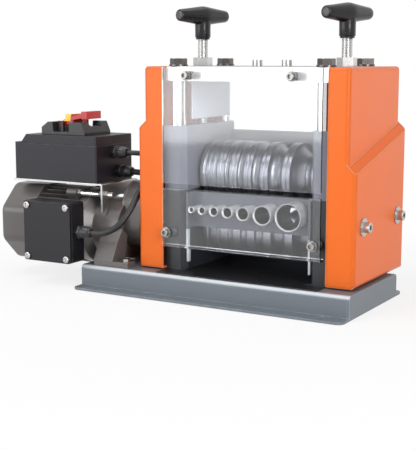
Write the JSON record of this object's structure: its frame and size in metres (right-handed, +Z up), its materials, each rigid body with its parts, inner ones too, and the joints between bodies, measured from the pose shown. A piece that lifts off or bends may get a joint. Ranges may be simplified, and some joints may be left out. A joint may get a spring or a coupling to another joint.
{
  "type": "wire stripping machine",
  "caption": "Motor-driven bench machine that strips cable: grooved wheels between steel blocks, clear guards, screw-down T handles, geared motor and switch box.",
  "frame": {"origin": "centre of the bench hole pattern, on the underside of the base flanges", "axes": "+X along the shafts, away from the motor; +Y the way the wire travels; +Z up"},
  "size_m": [0.5404, 0.3296, 0.3699],
  "materials": {
    "orange_paint": "satin",
    "grey_paint": "satin",
    "base_paint": "satin",
    "bright_steel": "brushed",
    "zinc_steel": "zinc plated",
    "hard_chrome": "polished",
    "wheel_steel": "turned",
    "black_steel": "black oxide",
    "clear_sheet": "clear",
    "motor_aluminium": "cast, grey paint",
    "box_plastic": "moulded",
    "black_plastic": "moulded",
    "grip_plastic": "moulded",
    "red_plastic": "moulded",
    "green_plastic": "moulded",
    "cable_rubber": "smooth"
  },
  "bodies": {
    "machine": {"base": "base_paint", "base_screws": "zinc_steel", "fixed_block_left": "grey_paint", "fixed_block_right": "grey_paint", "side_cover_left": "orange_paint", "side_cover_right": "orange_paint", "guide_rods": "hard_chrome", "top_plate": "bright_steel", "inner_screens": "bright_steel", "top_bolts": "zinc_steel", "plate_screws": "black_steel", "lift_nuts": "zinc_steel", "upper_guard": "clear_sheet", "lower_guard": "clear_sheet", "guard_screws": "zinc_steel", "guard_spacers": "black_steel", "lower_bearings": "bright_steel", "inlet_plate": "grey_paint", "inlet_tubes": "bright_steel", "outlet_panel": "grey_paint", "cover_bolts": "zinc_steel", "fan_cover": "grey_paint", "motor_frame": "motor_aluminium", "end_shield": "motor_aluminium", "reducer_housing": "motor_aluminium", "terminal_box": "box_plastic", "terminal_lid": "box_plastic", "terminal_screws": "zinc_steel", "cable_glands": "black_plastic", "switch_bracket": "grey_paint", "bracket_fasteners": "zinc_steel", "switch_box": "box_plastic", "switch_lid": "box_plastic", "switch_bezel": "black_plastic", "link_cable": "cable_rubber", "mains_cord": "cable_rubber", "cord_coil": "cable_rubber", "mains_plug": "black_plastic"},
    "carriage": {"slide_block_left": "grey_paint", "slide_block_right": "grey_paint", "carriage_panel": "grey_paint", "upper_bearings": "bright_steel"},
    "left_screw": {"lift_screw_left": "bright_steel", "t_grip_left": "grip_plastic"},
    "right_screw": {"lift_screw_right": "bright_steel", "t_grip_right": "grip_plastic"},
    "upper_spindle": {"upper_shaft": "bright_steel", "upper_gear": "wheel_steel", "cutter_wheels": "wheel_steel", "stripping_blades": "bright_steel"},
    "lower_spindle": {"lower_shaft": "bright_steel", "feed_roller": "wheel_steel", "lower_gear": "wheel_steel", "output_gear": "wheel_steel"},
    "motor_rotor": {"rotor": "wheel_steel", "cooling_fan": "black_plastic"},
    "reducer_gear": {"middle_gear": "wheel_steel"},
    "flap": {"stop_flap": "red_plastic"},
    "start": {"start_button": "green_plastic"},
    "stop": {"stop_button": "red_plastic"}
  },
  "joints": [
    {"name": "carriage_lift", "type": "slide", "parent": "machine", "child": "carriage", "axis": [0, 0, 1], "range_m": [0, 0.006]},
    {"name": "left_handle_turn", "type": "hinge", "parent": "carriage", "child": "left_screw", "pos_m": [-0.0665, 0.0285, 0.3], "axis": [0, 0, 1], "range_deg": [0, 1080]},
    {"name": "right_handle_turn", "type": "hinge", "parent": "carriage", "child": "right_screw", "pos_m": [0.1385, 0.0285, 0.3], "axis": [0, 0, 1], "range_deg": [0, 1080]},
    {"name": "upper_shaft_spin", "type": "hinge", "parent": "carriage", "child": "upper_spindle", "pos_m": [0.036, 0.0285, 0.154], "axis": [1, 0, 0], "continuous": true},
    {"name": "lower_shaft_spin", "type": "hinge", "parent": "machine", "child": "lower_spindle", "pos_m": [0.036, 0.0285, 0.078], "axis": [1, 0, 0], "continuous": true},
    {"name": "reducer_gear_spin", "type": "hinge", "parent": "machine", "child": "reducer_gear", "pos_m": [-0.14, 0.00143, 0.10396], "axis": [1, 0, 0], "continuous": true},
    {"name": "rotor_spin", "type": "hinge", "parent": "machine", "child": "motor_rotor", "pos_m": [-0.25, -0.01, 0.073], "axis": [1, 0, 0], "continuous": true},
    {"name": "stop_flap_open", "type": "hinge", "parent": "machine", "child": "flap", "pos_m": [-0.256, -0.014, 0.213], "axis": [0, -1, 0], "range_deg": [-4, 90]},
    {"name": "start_press", "type": "slide", "parent": "machine", "child": "start", "axis": [0, 0, -1], "range_m": [0, 0.003], "stiffness_N_per_m": 300, "springref_m": -0.002},
    {"name": "stop_press", "type": "slide", "parent": "machine", "child": "stop", "axis": [0, 0, -1], "range_m": [0, 0.003], "stiffness_N_per_m": 300, "springref_m": -0.002}
  ],
  "couplings": [
    {"joint": "left_handle_turn", "follows": "carriage_lift", "rad_per_m": 3141.6},
    {"joint": "right_handle_turn", "follows": "carriage_lift", "rad_per_m": 3141.6},
    {"joint": "upper_shaft_spin", "follows": "lower_shaft_spin", "ratio": -1},
    {"joint": "reducer_gear_spin", "follows": "lower_shaft_spin", "ratio": -3},
    {"joint": "rotor_spin", "follows": "lower_shaft_spin", "ratio": 10.2}
  ]
}
